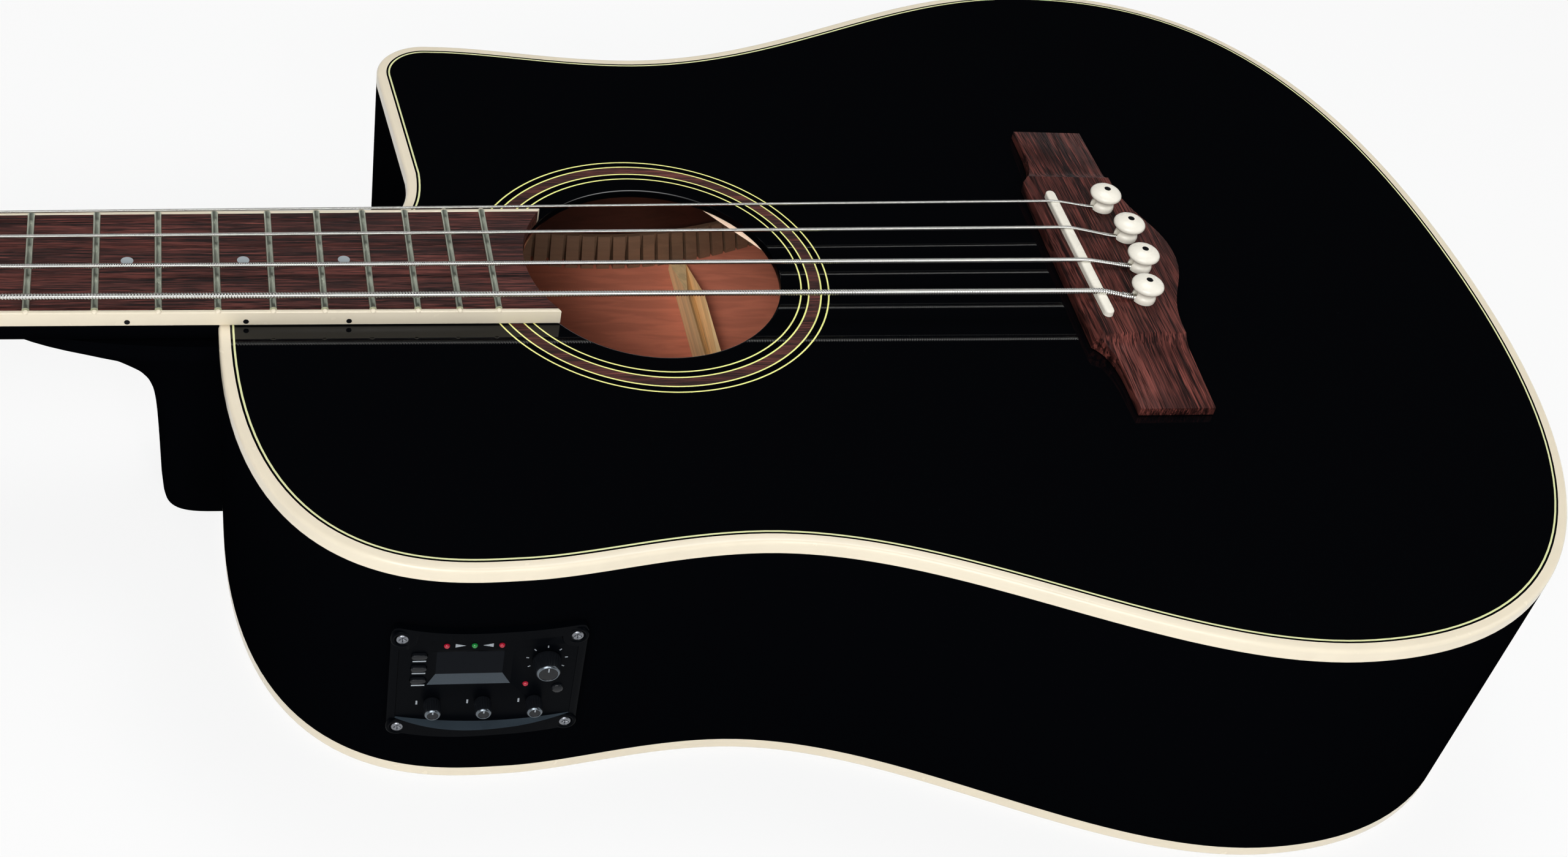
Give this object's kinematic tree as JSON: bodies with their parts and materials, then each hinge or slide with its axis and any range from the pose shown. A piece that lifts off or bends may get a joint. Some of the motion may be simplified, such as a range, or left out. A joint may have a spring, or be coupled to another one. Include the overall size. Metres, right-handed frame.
{
  "type": "acoustic bass guitar",
  "caption": "Cutaway acoustic bass guitar with turning tuning machines, bridge pins, braced hollow body and a preamp in its side with knobs and push buttons.",
  "frame": {"origin": "on the outer face of the flat back, straight below the saddle's middle", "axes": "+X from the headstock to the tail, +Y to the treble side with the cutaway, +Z out of the soundboard"},
  "size_m": [1.264, 0.423, 0.1405],
  "materials": {
    "black_lacquer": "black gloss lacquer on wood",
    "cream_binding": "cream, polished",
    "lining_wood": "bare pale wood",
    "mahogany": "bare reddish brown wood",
    "spruce": "bare pale wood",
    "rosewood": "dark reddish brown wood, satin",
    "ivory_plastic": "ivory white, polished",
    "string_wire": "round-wound wire",
    "steel": "plain steel",
    "chrome": "bright chrome",
    "black_plastic": "black, satin"
  },
  "bodies": {
    "guitar": {"truss_rod_cover": "black_plastic", "tuner_housing_e": "chrome", "tuner_housing_a": "chrome", "tuner_housing_d": "chrome", "tuner_housing_g": "chrome", "soundboard": "black_lacquer", "back_plate": "black_lacquer", "bass_side": "black_lacquer", "treble_side": "black_lacquer", "top_binding": "cream_binding", "back_binding": "cream_binding", "top_lining_bass": "lining_wood", "top_lining_treble": "lining_wood", "back_lining_bass": "lining_wood", "back_lining_treble": "lining_wood", "neck_block": "mahogany", "tail_block": "mahogany", "x_brace_bass": "spruce", "x_brace_treble": "spruce", "upper_brace": "spruce", "back_brace_upper": "spruce", "back_brace_middle": "spruce", "back_brace_lower": "spruce", "bridge_plate": "rosewood", "rosette": "rosewood", "bridge": "rosewood", "saddle": "ivory_plastic", "saddle_pickup": "steel", "neck": "black_lacquer", "fingerboard": "rosewood", "nut": "ivory_plastic", "truss_rod": "steel", "string_e": "string_wire", "bridge_pin_e": "ivory_plastic", "string_a": "string_wire", "bridge_pin_a": "ivory_plastic", "string_d": "string_wire", "bridge_pin_d": "ivory_plastic", "string_g": "string_wire", "bridge_pin_g": "ivory_plastic", "preamp_panel": "black_plastic", "preamp_case": "black_plastic", "output_jack": "chrome", "strap_button": "chrome"},
    "button_e": {"tuner_button_e": "chrome"},
    "post_e": {"tuner_post_e": "chrome"},
    "button_a": {"tuner_button_a": "chrome"},
    "post_a": {"tuner_post_a": "chrome"},
    "button_d": {"tuner_button_d": "chrome"},
    "post_d": {"tuner_post_d": "chrome"},
    "button_g": {"tuner_button_g": "chrome"},
    "post_g": {"tuner_post_g": "chrome"},
    "volume": {"volume_knob": "black_plastic"},
    "bass": {"bass_knob": "black_plastic"},
    "middle": {"middle_knob": "black_plastic"},
    "treble": {"treble_knob": "black_plastic"},
    "note_key": {"note_button": "black_plastic"},
    "pitch_key": {"pitch_button": "black_plastic"},
    "power_key": {"power_button": "black_plastic"},
    "phase_key": {"phase_button": "black_plastic"}
  },
  "joints": [
    {"name": "tuner_button_e_turn", "type": "hinge", "parent": "guitar", "child": "button_e", "pos_m": [-0.90841, -0.024, 0.05955], "axis": [0, -1, 0], "continuous": true},
    {"name": "tuner_post_e_turn", "type": "hinge", "parent": "guitar", "child": "post_e", "pos_m": [-0.92215, -0.024, 0.07653], "axis": [-0.2108, 0, 0.9775], "continuous": true},
    {"name": "tuner_button_a_turn", "type": "hinge", "parent": "guitar", "child": "button_a", "pos_m": [-0.97684, -0.017, 0.04479], "axis": [0, -1, 0], "continuous": true},
    {"name": "tuner_post_a_turn", "type": "hinge", "parent": "guitar", "child": "post_a", "pos_m": [-0.99057, -0.017, 0.06178], "axis": [-0.2108, 0, 0.9775], "continuous": true},
    {"name": "tuner_button_d_turn", "type": "hinge", "parent": "guitar", "child": "button_d", "pos_m": [-0.97684, 0.017, 0.04479], "axis": [0, 1, 0], "continuous": true},
    {"name": "tuner_post_d_turn", "type": "hinge", "parent": "guitar", "child": "post_d", "pos_m": [-0.99057, 0.017, 0.06178], "axis": [-0.2108, 0, 0.9775], "continuous": true},
    {"name": "tuner_button_g_turn", "type": "hinge", "parent": "guitar", "child": "button_g", "pos_m": [-0.90841, 0.024, 0.05955], "axis": [0, 1, 0], "continuous": true},
    {"name": "tuner_post_g_turn", "type": "hinge", "parent": "guitar", "child": "post_g", "pos_m": [-0.92215, 0.024, 0.07653], "axis": [-0.2108, 0, 0.9775], "continuous": true},
    {"name": "volume_turn", "type": "hinge", "parent": "guitar", "child": "volume", "pos_m": [-0.23483, -0.15429, 0.06537], "axis": [-0.0514, -0.9987, -0.0019], "range_deg": [-150, 150]},
    {"name": "bass_turn", "type": "hinge", "parent": "guitar", "child": "bass", "pos_m": [-0.27223, -0.15232, 0.04224], "axis": [-0.0514, -0.9987, -0.0019], "range_deg": [-150, 150]},
    {"name": "middle_turn", "type": "hinge", "parent": "guitar", "child": "middle", "pos_m": [-0.25466, -0.15322, 0.0429], "axis": [-0.0514, -0.9987, -0.0019], "range_deg": [-150, 150]},
    {"name": "treble_turn", "type": "hinge", "parent": "guitar", "child": "treble", "pos_m": [-0.2368, -0.15414, 0.04358], "axis": [-0.0514, -0.9987, -0.0019], "range_deg": [-150, 150]},
    {"name": "note_press", "type": "slide", "parent": "guitar", "child": "note_key", "axis": [0.0514, 0.9987, 0.0019], "range_m": [0, 0.0009], "stiffness_N_per_m": 400, "springref_m": -0.0008},
    {"name": "pitch_press", "type": "slide", "parent": "guitar", "child": "pitch_key", "axis": [0.0514, 0.9987, 0.0019], "range_m": [0, 0.0009], "stiffness_N_per_m": 400, "springref_m": -0.0008},
    {"name": "power_press", "type": "slide", "parent": "guitar", "child": "power_key", "axis": [0.0514, 0.9987, 0.0019], "range_m": [0, 0.0009], "stiffness_N_per_m": 400, "springref_m": -0.0008},
    {"name": "phase_press", "type": "slide", "parent": "guitar", "child": "phase_key", "axis": [0.0514, 0.9987, 0.0019], "range_m": [0, 0.0009], "stiffness_N_per_m": 400, "springref_m": -0.0008}
  ],
  "couplings": [
    {"joint": "tuner_post_e_turn", "follows": "tuner_button_e_turn", "ratio": 0.05},
    {"joint": "tuner_post_a_turn", "follows": "tuner_button_a_turn", "ratio": 0.05},
    {"joint": "tuner_post_d_turn", "follows": "tuner_button_d_turn", "ratio": -0.05},
    {"joint": "tuner_post_g_turn", "follows": "tuner_button_g_turn", "ratio": -0.05}
  ]
}
